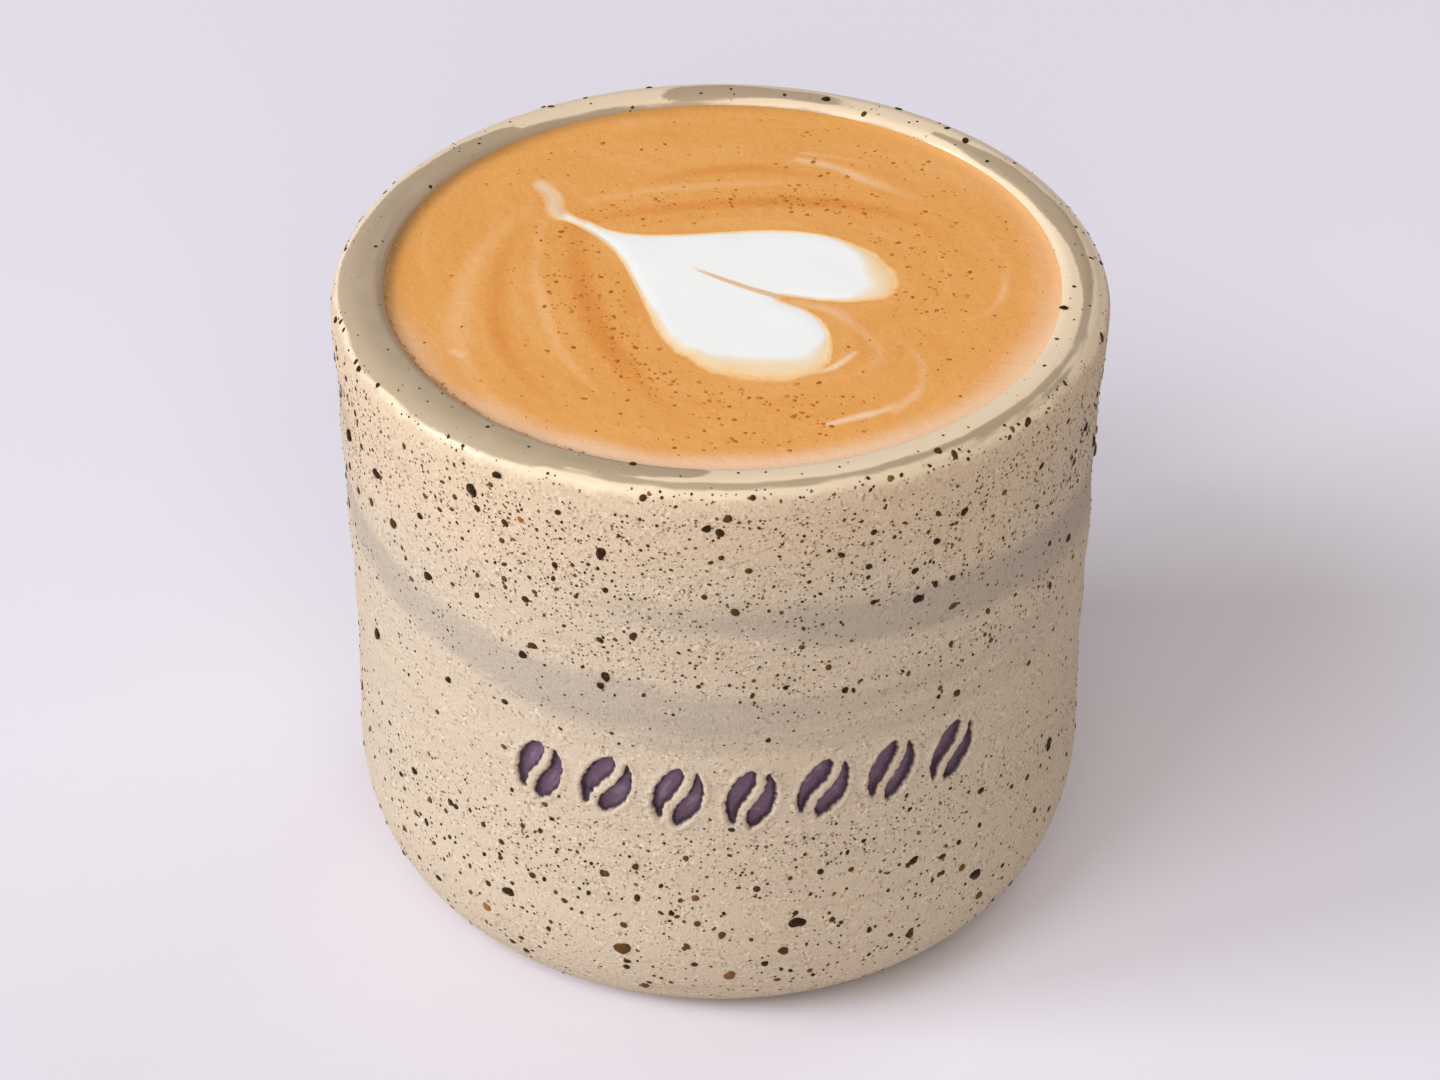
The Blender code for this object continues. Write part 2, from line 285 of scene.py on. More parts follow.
def makeCamera(settings):
    data = bpy.data.cameras.new("camera")
    data.lens = settings["lens"]
    data.sensor_width = settings["sensorWidth"]
    camera = newObject("camera", data)
    tilt = math.radians(settings["elevation"])
    back = Vector((0, -math.cos(tilt), math.sin(tilt)))
    target = Vector((settings["targetAcross"] * mm, 0, settings["targetHeight"] * mm))
    turn = (-back).to_track_quat("-Z", "Y").to_matrix().to_4x4()
    place = Matrix.Translation(target + back * settings["distance"] * mm)
    camera.matrix_world = place @ turn @ Matrix.Rotation(math.radians(settings["roll"]), 4, "Z")
    bpy.context.scene.camera = camera


makeCamera(cameraSettings)

# Cup: the turned wall, the stamped beans, and where slip, wash and glaze lie on it
cupSize = {
    "height": 76.5,
    "rimRadius": 43.0,
    "cavityRadius": 37.2,
    "cavityOffset": (0.2, -0.2),
    "cavityCorner": 13.0,
    "floorHeight": 7.0,
    "footRadius": 30.6,
    "footWidth": 6.0,
    "footRecess": 0.9,
    "cornerHeight": 16.4,
    "lipRound": 3.3,
    "innerLipRound": 1.4,
    "innerLipDrop": 0.1,
    "wallRadii": (41.7, 41.6, 41.7, 42.1, 42.3, 42.6, 43.0),
    "ripple": 0.12,
    "ripplePitch": 11.0,
    "lean": -0.25,
    "leanHeight": 58.0,
    "leanSpread": 12.0,
    "brushRidge": 0.018,      # fine lines left by the fingers and the sponge
    "brushPitch": 2.3,
    "handWobble": 0.12,
    "handHeights": (14, 22, 64, 72),  # where ridges and wobble fade in and out
    "stampBelt": (29.0, 42.6),        # heights with closer rows, for the stamps' edges
    "rowSteps": (0.85, 0.2, 0.8),     # row spacing under, in and over the belt
    "stampArc": (-35.0, 45.0),        # turns with closer columns
    "columnSteps": (0.29, 1.3),       # degrees between columns in the arc and in the rest
    "noiseRadius": 42,
}
beanRow = {
    "count": 7,
    "width": 5.6,
    "height": 8.6,
    "ridge": 0.9,
    "wave": 0.5,
    "slant": -19.0,
    "tilts": (3.0, -4.0, 2.0, 5.0, -3.0, 1.0, -5.0),
    "lifts": (0.0, 0.3, -0.2, -0.4, 0.2, 0.5, 0.1),
    "firstTurn": -28.0,
    "lastTurn": 38.0,
    "rowHeight": 35.4,
    "depth": 1.0,
    "edgeWidth": 0.55,
    "burr": 0.13,             # clay pushed up round each stamp
    "ragged": 0.07,
    "reach": (-37, 47, 26, 46),       # turns and heights that the row keeps within
    "farAway": -6.0,
}
cupPaint = {
    # grey slip brushed on the lip: (turn, inner radius, outer radius) from the left round to the right
    "lipBands": (
        ((-143, 36, 39.2), (-132, 36, 40.2), (-120, 36, 40.7), (-100, 36, 41.7), (-92, 36, 42.2),
         (-60, 36, 42.35), (-40, 36, 42.3), (-28, 36, 41.9), (-22, 36, 41), (-14, 36.5, 40.55),
         (-5, 37.5, 40), (-1, 38.8, 39.2)),
        ((-40, 40.9, 42), (-20, 40.8, 41.5), (0, 40.7, 41.45), (40, 40.6, 41.45), (60, 40.5, 41.35),
         (70, 40.35, 41.25), (80, 39.9, 41.1), (90, 39.35, 40.9), (100, 38.7, 40.75), (110, 38.1, 40.5),
         (120, 37.7, 40.2), (130, 37.7, 39.8), (137, 37.9, 39.4), (142, 38.3, 38.9)),
        ((30, 41.85, 42.05), (50, 41.7, 42), (62, 41.5, 41.9), (74, 41.2, 41.5)),
        ((148, 38.9, 39.4), (160, 38.5, 39.8), (170, 38.1, 40.2), (180, 37.6, 40.6), (187, 37.6, 40.3),
         (191, 38.2, 39.4)),
        ((140, 36, 37.3), (180, 36, 37.55), (205, 36, 37.9), (222, 36, 38.4)),
    ),
    # cool grey wash wiped round the wall: (turn, height, half width, strength)
    "washBands": (
        ((-34, 62, 1.4, 0), (-16, 61, 1.7, 0.5), (0, 59.4, 2.3, 0.8), (18, 58, 3, 1),
         (35, 56.8, 3.5, 1), (62, 54.6, 4.6, 1), (80, 53.6, 5, 0.9), (120, 52, 4.4, 0.7),
         (170, 51, 3, 0.2)),
        ((-140, 56, 2.4, 0.2), (-100, 54, 3.2, 0.7), (-65, 51.4, 3.2, 0.9), (-45, 49.6, 3.4, 0.9),
         (-25, 47.4, 4, 1), (-5, 46.6, 3.8, 0.9), (12, 46.8, 3, 0.7), (40, 47, 1.9, 0.5),
         (75, 46, 2.2, 0.4)),
        ((-34, 43.8, 2.2, 0), (-8, 43.2, 2.4, 0.6), (30, 42.8, 2, 0.5), (60, 43, 2, 0.4),
         (90, 43, 2.2, 0.1)),
        ((-90, 66, 2.2, 0.5), (-70, 63, 2, 0.5), (-50, 60.5, 1.4, 0.25), (-35, 59.6, 1.2, 0)),
    ),
    "bandEnd": 0.35,          # how fast a brushed band narrows at its ends
    "glazeHeight": 74.6,
    "frontGlazeLift": 0.5,    # the glaze ends higher in front
    "paintedFootShadeHeight": 7.0,          # the height under which the clay is painted darker, as painted shade near the floor
    "glazedCrowd": 0.1,       # share of specks that show through the glaze
}


def alongTurn(table, column, turn):
    # a table's column as a smooth line round the cup, and where the table covers the turn
    rows = np.array(table, float)
    unrolled = np.where(turn < rows[0, 0], turn + 360, turn)
    covered = (unrolled >= rows[0, 0]) & (unrolled <= rows[-1, 0])
    return np.interp(unrolled, rows[:, 0], rows[:, column]), covered


def wallRadius(height):
    s = cupSize
    top = s["height"] - s["lipRound"]
    share = np.clip((height - s["cornerHeight"]) / (top - s["cornerHeight"]), 0, 1)
    radii = np.array(s["wallRadii"])
    place = share * (len(radii) - 1)
    step = np.minimum(place.astype(int), len(radii) - 2)
    part = place - step
    radius = radii[step] + (radii[step + 1] - radii[step]) * part * part * (3 - 2 * part)
    ringed = np.sin(math.pi * share) * np.sin(2 * math.pi * height / s["ripplePitch"])
    return radius + s["ripple"] * ringed


def wallLean(height):
    return cupSize["lean"] * np.exp(-(((height - cupSize["leanHeight"]) / cupSize["leanSpread"]) ** 2))


def arcPoints(centre, radii, start, end, count):
    angles = np.radians(np.linspace(start, end, count + 1))
    return np.column_stack([centre[0] + radii[0] * np.cos(angles), centre[1] + radii[1] * np.sin(angles)])


def cupProfile():
    # rows of (radius, height, share of the way from the wall's middle to the cavity's)
    s = cupSize
    recess = s["footRadius"] - s["footWidth"]
    foot = [(4, s["footRecess"]), (14, s["footRecess"]), (recess - s["footRecess"], s["footRecess"]),
            (recess - 0.3, 0.25), (recess + 0.2, 0.0), (recess + 2.5, 0.0)]
    corner = arcPoints((s["footRadius"], s["cornerHeight"]),
                       (s["wallRadii"][0] - s["footRadius"], s["cornerHeight"]), -90, 0, 18)
    top = s["height"] - s["lipRound"]
    low, high = s["stampBelt"]
    under, within, over = s["rowSteps"]
    heights = np.concatenate([np.arange(s["cornerHeight"] + over, low, under),
                              np.arange(low, high, within), np.arange(high, top, over), [top]])
    wall = np.column_stack([wallRadius(heights), heights])
    lip = arcPoints((s["rimRadius"] - s["lipRound"], top), (s["lipRound"], s["lipRound"]), 0, 90, 12)[1:]
    innerMiddle = (s["cavityRadius"] + s["innerLipRound"],
                   s["height"] - s["innerLipDrop"] - s["innerLipRound"])
    inner = arcPoints(innerMiddle, (s["innerLipRound"], s["innerLipRound"]), 90, 180, 8)
    cavity = arcPoints((s["cavityRadius"] - s["cavityCorner"], s["floorHeight"] + s["cavityCorner"]),
                       (s["cavityCorner"], s["cavityCorner"]), 0, -90, 8)
    outside = np.vstack([foot, corner, wall])
    inside = np.vstack([lip, inner, cavity, [(8, s["floorHeight"])]])
    share = np.clip((s["rimRadius"] - inside[:, 0]) / (s["rimRadius"] - s["cavityRadius"]), 0, 1)
    rows = [np.column_stack([outside, np.zeros(len(outside))]), np.column_stack([inside, share])]
    return np.vstack(rows), len(outside)


def halfBean(side):
    # one side of a bean, whose straight side follows the S-shaped ridge
    row = beanRow
    halfWidth, halfHeight = row["width"] / 2, row["height"] / 2
    outer = arcPoints((0, 0), (side * halfWidth, halfHeight), -72, 72, 24)
    y = halfHeight * np.linspace(0.80, -0.80, 13)
    ridge = np.column_stack([row["wave"] * np.sin(2 * math.pi * y / row["height"])
                             + side * row["ridge"] / 2, y])
    return np.vstack([outer, ridge])


def stampDistance(turn, height):
    # distance to the stamped half beans on the unrolled wall, positive inside them
    row = beanRow
    distance = np.full(turn.shape, row["farAway"])
    firstTurn, lastTurn, lowest, highest = row["reach"]
    near = (turn > firstTurn) & (turn < lastTurn) & (height > lowest) & (height < highest)
    nearTurn, nearHeight = turn[near], height[near]
    best = np.full(nearTurn.shape, row["farAway"])
    wall = cupSize["wallRadii"][0]
    for number in range(row["count"]):
        share = number / (row["count"] - 1)
        middleTurn = row["firstTurn"] + (row["lastTurn"] - row["firstTurn"]) * share
        middleHeight = row["rowHeight"] + row["lifts"][number]
        across = np.radians(nearTurn - middleTurn) * wall
        up = nearHeight - middleHeight
        tilt = math.radians(row["slant"] + row["tilts"][number])
        u = across * math.cos(tilt) + up * math.sin(tilt)
        v = -across * math.sin(tilt) + up * math.cos(tilt)
        for side in (-1, 1):
            best = np.maximum(best, insideDistance(u, v, halfBean(side)))
    places = np.column_stack([np.radians(nearTurn) * wall, nearHeight])
    distance[near] = best + row["ragged"] * (ripple(places, 1.1, 5) + 0.6 * ripple(places, 0.55, 6))
    return distance


def slipDistance(turn, radius, ring):
    # distance to the brushed slip on the lip, positive inside it
    best = np.full(turn.shape, -3.0)
    for table in cupPaint["lipBands"]:
        inner, covers = alongTurn(table, 1, turn)
        outer, _ = alongTurn(table, 2, turn)
        unrolled = np.where(turn < table[0][0], turn + 360, turn)
        ends = np.radians(np.minimum(unrolled - table[0][0], table[-1][0] - unrolled)) * radius
        inside = np.minimum(np.minimum(radius - inner, outer - radius), cupPaint["bandEnd"] * ends)
        best = np.maximum(best, np.where(covers, inside, -3.0))
    return best + 0.10 * ripple(ring, 9.0, 8)


def washStrength(turn, height, ring):
    total = np.zeros(turn.shape)
    drift = 0.4 * ripple(ring * (1, 1, 6), 30.0, 21)
    for table in cupPaint["washBands"]:
        middle, covers = alongTurn(table, 1, turn)
        width, _ = alongTurn(table, 2, turn)
        strength, _ = alongTurn(table, 3, turn)
        across = (height + drift - middle) / width
        total = np.maximum(total, np.where(covers, strength * np.exp(-0.9 * across ** 4), 0))
    return total


def addSpeckCrowds(turn, height, layers, ring):
    # the finest specks crowd below the rim and in a belt under the stamps, the middling ones below
    # the rim and near the foot; both thin out where the wash was wiped
    side = 1 - 0.6 * smoothStep(46, 70, np.abs(turn))
    upper = smoothStep(55, 64, height) * (1 - 0.35 * smoothStep(-42, -62, turn))
    fine = 0.16 + 0.8 * upper + 0.55 * smoothStep(42, 50, height)
    belt = np.exp(-(((height - 26.5) / 3.8) ** 2))
    fine += side * (1.1 * belt + 0.12 * (1 - smoothStep(20, 26, height)))
    middling = 0.22 + 0.75 * upper + 0.5 * smoothStep(44, 52, height)
    middling += side * 1.5 * smoothStep(5, 9, height) * (1 - smoothStep(22, 30, height))
    wiped = 1 - 0.45 * smoothStep(0.2, 0.9, layers["wash"])
    speckled = (height > 0.8) & layers["outer"] & (layers["stamp"] < -0.3) | (height > 74.5)
    uneven = np.clip(1 + 0.35 * ripple(ring, 13.0, 11) + 0.3 * ripple(ring, 5.0, 12), 0.1, 2)
    for name, crowd in (("crowd", fine), ("clumps", middling)):
        crowd = np.where(layers["glaze"] > 0.75, cupPaint["glazedCrowd"], crowd * wiped * uneven)
        layers[name] = np.where(speckled, np.clip(crowd, 0, 2), 0)


def makeCup():
    s = cupSize
    profile, outsideCount = cupProfile()
    arcStart, arcEnd = s["stampArc"]
    fineStep, coarseStep = s["columnSteps"]
    turns = np.concatenate([np.arange(arcStart, arcEnd, fineStep),
                            np.arange(arcEnd, arcStart + 360, coarseStep)])
    rowCount, columnCount = len(profile), len(turns)
    turn = np.tile(np.where(turns > 180, turns - 360, turns), rowCount)
    radius, height, share = (np.repeat(profile[:, k], columnCount) for k in range(3))
    outer = np.repeat(np.arange(rowCount), columnCount) < outsideCount
    angle = np.radians(turn)
    ring = np.column_stack([np.cos(angle) * s["noiseRadius"],
                            np.sin(angle) * s["noiseRadius"], height])

    layers = {"outer": outer}
    layers["stamp"] = np.where(outer, stampDistance(turn, height), beanRow["farAway"])
    layers["slip"] = np.where(height > 73.6, slipDistance(turn, radius, ring), -3.0)
    edge = height - cupPaint["glazeHeight"] - cupPaint["frontGlazeLift"] * np.exp(-((turn / 28) ** 2))
    edge -= 0.2 * ripple(ring, 14.0, 9) + 0.12 * ripple(ring, 4.0, 10)
    layers["glaze"] = np.where(outer | (radius > 39.8), edge, 3.0)
    layers["wash"] = np.where(outer, washStrength(turn, height, ring), 0)
    layers["warm"] = smoothStep(56, 72, height + 2 * ripple(ring, 30.0, 13))
    # painted shade: the clay darkens towards the floor, where the underside is shaded
    layers["foot"] = 1 - smoothStep(0, cupPaint["paintedFootShadeHeight"], height)
    addSpeckCrowds(turn, height, layers, ring)

    # the potter's hand: fine ridges, a wobble, and the stamps with the clay pushed up round them
    begin, clear, fade, end = s["handHeights"]
    free = np.where(outer, smoothStep(begin, clear, height) * (1 - smoothStep(fade, end, height)), 0)
    ridges = np.sin(2 * math.pi * (height + 0.5 * ripple(ring, 60.0, 2)) / s["brushPitch"])
    wobble = s["handWobble"] * ripple(ring, 70.0, 3)
    pressed = beanRow["depth"] * smoothStep(-0.05, beanRow["edgeWidth"], layers["stamp"])
    burr = beanRow["burr"] * np.exp(-(((layers["stamp"] + 0.28) / 0.28) ** 2))
    burr *= 1 + 0.6 * ripple(ring, 3.0, 4)
    radius = radius + free * (s["brushRidge"] * ridges + wobble) - pressed + burr
    x = s["cavityOffset"][0] * share + np.where(outer, wallLean(height), 0) + radius * np.sin(angle)
    y = s["cavityOffset"][1] * share - radius * np.cos(angle)

    grid = np.arange(rowCount * columnCount).reshape(rowCount, columnCount)
    turned = np.roll(grid, -1, axis=1)
    faces = np.stack([grid[:-1], turned[:-1], turned[1:], grid[1:]], axis=-1).reshape(-1, 4)
    under, bottom = len(x), len(x) + 1
    points = np.vstack([np.column_stack([x, y, height]), [(0, 0, s["footRecess"])],
                        [(*s["cavityOffset"], s["floorHeight"])]])
    closing = [(under, turned[0, k], grid[0, k]) for k in range(columnCount)]
    closing += [(bottom, grid[-1, k], turned[-1, k]) for k in range(columnCount)]
    layers = {name: np.append(values, [values.min()] * 2) for name, values in layers.items()
              if name != "outer"}
    return newPiece("stonewareCup", points, [*faces, *closing], layers)


# Stoneware: wheel-thrown, sponged and left bare, with clear glossy glaze on the lip only. The bare
# clay gives a dry, sandy, warm beige with iron specks; the glaze turns it cream and shiny.
stonewareLook = {
    "clay": "#cab99e",
    "noises": {               # name: (millimetres, stretch, detail)
        "clouds": (26.0, (1, 1, 1), 3.0),
        "streaks": (15.0, (1, 1, 9), 4.0),
        "brush": (5.0, (1, 1, 6), 4.0),
        "sand": (0.42, (1, 1, 1), 3.0),
        "grit": (1.3, (1, 1, 1), 2.0),
        "smear": (2.4, (1, 1, 1), 4.0),
    },
    "coats": (                # layer, noise, sway, start, full, strength, colour
        ("clouds", "clouds", 0.0, -0.3, 0.7, 0.40, "#cab99f"),
        ("warm", "clouds", 0.3, 0.1, 1.0, 0.75, "#d5bc99"),
        ("streaks", "streaks", 0.0, 0.0, 1.0, 0.32, "#b39f80"),
        # painted shade near the floor
        ("foot", "clouds", 0.1, 0.15, 1.0, 0.55, "#a08d76"),
        ("sand", "grit", 0.5, 0.15, 1.05, 0.90, "#9c8466"),
        ("sand", "grit", -0.5, -0.2, -1.1, 0.80, "#e6d7c0"),
        ("wash", "brush", 0.25, 0.16, 1.0, 0.60, "#a29888"),
        ("glaze", "grit", 0.3, -0.3, 0.8, 1.0, "#e9d5b1"),
        ("slip", "brush", 0.20, -0.14, 0.22, 1.0, "#b4a182"),
        ("slip", "brush", 1.2, 1.4, 3.6, 0.7, "#c2b093"),
        ("stamp", "smear", 0.12, 0.0, 0.22, 1.0, "#3a2c34"),
        ("stamp", "smear", 0.15, 0.12, 0.65, 1.0, "#745c6e"),
        ("stamp", "smear", 0.9, 0.9, 1.6, 0.7, "#978794"),
    ),
    "speck": "#4a3212",
    "pepperSizes": ((0.55, 0.34, 0.8), (1.1, 0.24, 0.7)),   # (cell, largest radius in cells, share)
    "pepperBend": (0.7, 0.3),  # size and reach of the wobble in the dots' outlines
    "pepperStrength": 0.85,
    "ior": 1.5,
    "clayRoughness": 0.82,
    "glazeRoughness": 0.15,
    "glazeShine": 0.14,
    "sandHeight": 0.055,
    "streakHeight": 0.05,
}


def makeStoneware():
    look = stonewareLook
    material, tree, shader = newMaterial("speckledStoneware")
    names = ("stamp", "slip", "glaze", "wash", "warm", "foot", "crowd")
    place, fields = readFields(tree, names, look["noises"])
    body = paintCoats(tree, linear(look["clay"]), look["coats"], fields)

    # pepper: the finest specks, as uneven dots, more of them where the crowd layer is high
    bendSize, bendReach = look["pepperBend"]
    bent = addNode(tree, "ShaderNodeTexNoise", {
        "Vector": place, "Scale": 1 / (bendSize * mm), "Detail": 1.0})
    bentPlace = addNode(tree, "ShaderNodeVectorMath", {
        0: bent.outputs["Color"], 1: (bendReach * mm,) * 3, 2: place}, operation="MULTIPLY_ADD")
    pepper = 0.0
    for cell, largest, share in look["pepperSizes"]:
        cells = addNode(tree, "ShaderNodeTexVoronoi", {"Vector": bentPlace, "Scale": 1 / (cell * mm)})
        pick = addNode(tree, "ShaderNodeSeparateColor", {0: cells.outputs["Color"]})
        size = addNode(tree, "ShaderNodeMath", {0: pick.outputs[0], 1: largest}, operation="MULTIPLY")
        depth = addNode(tree, "ShaderNodeMath", {0: size, 1: cells.outputs["Distance"]},
                        operation="SUBTRACT")
        chance = addNode(tree, "ShaderNodeMath", {0: fields["crowd"], 1: share}, operation="MULTIPLY")
        chosen = addNode(tree, "ShaderNodeMath", {0: pick.outputs[1], 1: chance}, operation="LESS_THAN")
        dot = addNode(tree, "ShaderNodeMapRange", {"Value": depth, "From Max": 0.05, "To Max": chosen})
        pepper = addNode(tree, "ShaderNodeMath", {0: pepper, 1: dot}, operation="MAXIMUM")
    peppered = addNode(tree, "ShaderNodeMath", {0: pepper, 1: look["pepperStrength"]},
                       operation="MULTIPLY")
    colour = addNode(tree, "ShaderNodeMix", {0: peppered, 6: body, 7: linear(look["speck"])},
                     data_type="RGBA")

    # gloss where glaze lies; the sandy grain of bare clay hardly shows under it
    glazed = addNode(tree, "ShaderNodeMapRange", {
        "Value": fields["glaze"], "From Min": -0.5, "From Max": 0.7})
    stamped = addNode(tree, "ShaderNodeMapRange", {
        "Value": fields["stamp"], "From Max": 0.2, "To Max": 0.7})
    glossy = addNode(tree, "ShaderNodeMath", {0: glazed, 1: stamped}, operation="MAXIMUM")
    rough = addNode(tree, "ShaderNodeMapRange", {
        "Value": glossy, "To Min": look["clayRoughness"], "To Max": look["glazeRoughness"]})
    sandy = addNode(tree, "ShaderNodeMapRange", {
        "Value": glossy, "To Min": look["sandHeight"], "To Max": 0.1 * look["sandHeight"]})
    lines = addNode(tree, "ShaderNodeMath", {0: fields["streaks"], 1: look["streakHeight"]},
                    operation="MULTIPLY")
    relief = addNode(tree, "ShaderNodeMath", {0: fields["sand"], 1: sandy, 2: lines},
                     operation="MULTIPLY_ADD")
    bump = addNode(tree, "ShaderNodeBump", {"Height": relief, "Strength": 0.8, "Distance": 1.0 * mm})
    feed(tree, shader, {"Base Color": colour, "Roughness": rough, "Normal": bump, "IOR": look["ior"],
                        "Specular IOR Level": look["glazeShine"]})
    return material


# Iron specks: iron-rich grains in the clay that melted in the firing and stand out as glassy dark
# brown beads, a few of them rusty, or olive where the glaze took them up.
speckLook = {
    "tints": ((0.0, "#2e1d08"), (0.5, "#47300f"), (0.95, "#65451a"),
              (0.975, "#7d4f2a"), (0.987, "#a0662a"), (1.0, "#6b6018")),
    "coats": (("mottle", "mottle", 0.0, 0.1, 1.1, 0.5, "#6e5a34"),),
    "roughness": 0.42,
    "shine": 0.08,
    "segments": 14,
    "rings": 7,
    "flatness": (0.26, 0.38),         # least and most height, as a share of the radius
    "stretch": (0.85, 1.15),
    "lumps": (0.12, 0.09, 0.05),      # depths of the lumps: two, three and five round the bead
    "seed": 12,
    # the beads that are large enough to be picked out: (turn, height, radius, tint if it isn't 0)
    "wall": (
        (-66, 39, 0.7), (-14.7, 12.9, 0.95, 0.7), (12.2, 17.3, 0.85), (-34, 16.4, 0.7),
        (2, 9.5, 0.75, 0.97), (10.2, 13.3, 0.62, 0.5), (0.7, 16.2, 0.48, 0.8), (7.4, 11.4, 0.45),
        (44, 15.5, 0.8), (31.7, 10.8, 0.62, 0.3), (45.9, 11.4, 0.6, 0.88), (31.4, 22, 0.62),
        (63.7, 25.2, 0.75), (-55, 25, 0.5), (-12.5, 25, 0.42, 0.6), (-11.9, 6, 0.6, 0.8),
        (-33, 6.7, 0.5), (-38.8, 12.2, 0.6, 0.985), (-42, 13.2, 0.35, 0.94), (-37.4, 70.7, 0.75),
        (-16.7, 67.5, 0.68), (-1.7, 72.1, 0.5), (1.2, 73.4, 0.5, 0.6), (-32.9, 74, 0.5),
        (37.4, 68.2, 0.5), (32.9, 65.6, 0.45), (29.5, 62.6, 0.42), (30.3, 58.7, 0.6),
        (33.2, 59.8, 0.38), (-60.6, 63.5, 0.6), (-72.3, 63.1, 0.65), (-55.8, 59, 0.6, 0.4),
        (-47.6, 55.4, 0.6), (-29.7, 50.9, 0.5), (-16.4, 50.9, 0.55), (-17.2, 49.6, 0.42),
        (-44.8, 42.3, 0.42), (18.9, 48.9, 0.4), (66.5, 52.6, 0.55), (78, 60, 0.6), (70, 66, 0.5),
        (84, 56, 0.8, 0.7), (-88, 66, 0.7), (-48.7, 63, 0.42), (34.6, 44.1, 0.3), (10, 50.4, 0.3),
        (7.4, 43.4, 0.3), (-26, 29, 0.28), (20, 26, 0.3), (38, 30, 0.3), (-7, 19, 0.36), (24, 14, 0.4),
        (27, 19, 0.32), (35, 18, 0.32), (-24, 18, 0.36, 0.6), (-20, 20, 0.3), (-27, 13, 0.36),
        (15.5, 8, 0.32), (37, 24, 0.28), (18, 20.5, 0.28, 0.95), (-5, 14, 0.32, 0.8),
        (-37, 59.5, 0.3, 0.8), (23, 60, 0.34), (59, 55.4, 0.36, 0.6), (41.5, 25.5, 0.34),
        (51, 25.5, 0.3, 0.88), (-59.5, 22.4, 0.3), (-50, 17, 0.3, 0.5), (28, 12, 0.36, 0.5),
        (30.5, 29.5, 0.28),
    ),
    # (turn, radius on the lip, radius, tint if it isn't 0)
    "lip": (
        (162, 39.2, 0.5), (79.4, 38.1, 0.42), (76.4, 42.7, 0.55, 0.3), (33.7, 41.2, 0.45, 0.6),
        (25, 42.2, 0.4, 1), (-10, 42.1, 0.25, 0.98), (47, 42.3, 0.35, 1), (50, 42.5, 0.4, 0.6),
        (-38.5, 39.3, 0.22), (-60, 42.3, 0.3), (-97, 38.6, 0.2), (95, 41.2, 0.3), (104, 40.9, 0.25),
        (-66, 42.6, 0.4), (140, 40.4, 0.35), (150, 41, 0.45), (-168, 40.9, 0.3), (128, 38.4, 0.22),
        (86, 38.9, 0.22), (70, 38.7, 0.2), (62, 39.4, 0.2), (-157, 40.6, 0.22), (-150, 41.4, 0.26, 0.4),
        (-80, 42.7, 0.4),
    ),
    # fine and middling specks strewn over the clay, as rows of scatterInputs
    "fine": (520000.0, 0.06 * mm, 0.26 * mm, 3.2, 0.4, 6, 3, 4),
    "middling": (90000.0, 0.18 * mm, 0.52 * mm, 2.6, 0.34, 8, 5, 21),
}


def makeSpeckMaterial():
    material, tree, shader = newMaterial("ironSpeck")
    _, fields = readFields(tree, ("tint",), {"mottle": (0.5, (1, 1, 1), 2.0)})
    tinted = addNode(tree, "ShaderNodeValToRGB", {0: fields["tint"]}, ramp=speckLook["tints"])
    colour = paintCoats(tree, tinted.outputs[0], speckLook["coats"], fields)
    bump = addNode(tree, "ShaderNodeBump", {
        "Height": fields["mottle"], "Strength": 0.5, "Distance": 0.08 * mm})
    feed(tree, shader, {"Base Color": colour, "Normal": bump, "Roughness": speckLook["roughness"],
                        "Specular IOR Level": speckLook["shine"]})
    return material


def wallPlace(height):
    # a point on the wall and its outward direction, as (radius, height) pairs
    s = cupSize
    if height >= s["cornerHeight"]:
        return (float(wallRadius(np.array(height))), height), (1.0, 0.0)
    wide, tall = s["wallRadii"][0] - s["footRadius"], s["cornerHeight"]
    drop = (tall - height) / tall
    radius = s["footRadius"] + wide * math.sqrt(1 - drop * drop)
    out = Vector(((radius - s["footRadius"]) / wide ** 2, -(tall - height) / tall ** 2)).normalized()
    return (radius, height), tuple(out)


def lipPlace(radius):
    s = cupSize
    beyond = radius - (s["rimRadius"] - s["lipRound"])
    top = s["height"] - s["lipRound"]
    if beyond <= 0:
        return (radius, s["height"] - 0.03), (0.0, 1.0)
    rise = math.sqrt(s["lipRound"] ** 2 - beyond ** 2)
    return (radius, top + rise), (beyond / s["lipRound"], rise / s["lipRound"])


